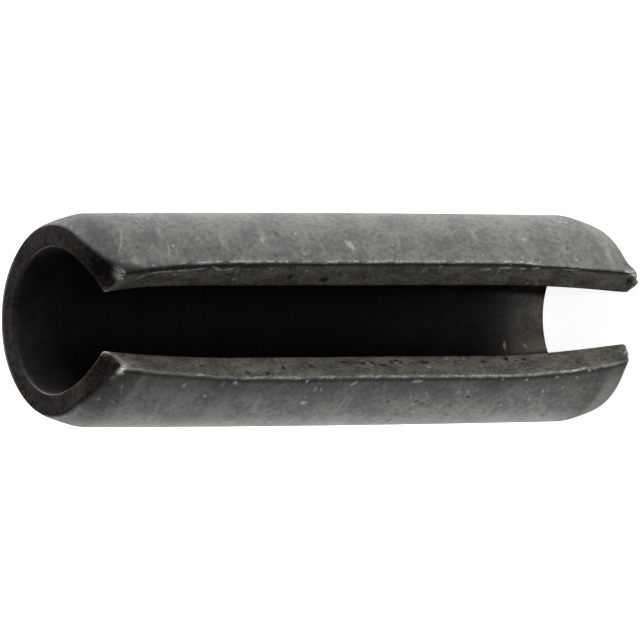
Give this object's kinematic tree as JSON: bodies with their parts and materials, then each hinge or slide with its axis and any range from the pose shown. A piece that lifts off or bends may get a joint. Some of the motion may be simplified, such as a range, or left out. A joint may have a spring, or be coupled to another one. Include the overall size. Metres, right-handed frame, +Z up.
{
  "type": "slotted spring pin",
  "caption": "Rolled steel spring pin standing on end: an open tube slotted along its whole length, with tapered ends whose lips close in towards the slot.",
  "frame": {"origin": "where the tube's axis meets the surface the pin stands on, in the plane of its square end", "axes": "+Z up along the pin towards the end whose lips are cut back, -Y out through the middle of the slot"},
  "size_m": [0.0086, 0.0081, 0.026],
  "materials": {
    "blackened_steel": "dull black oxide with brown mottling and bright worn edges"
  },
  "bodies": {
    "root": {"spring_pin": "blackened_steel"}
  },
  "joints": []
}
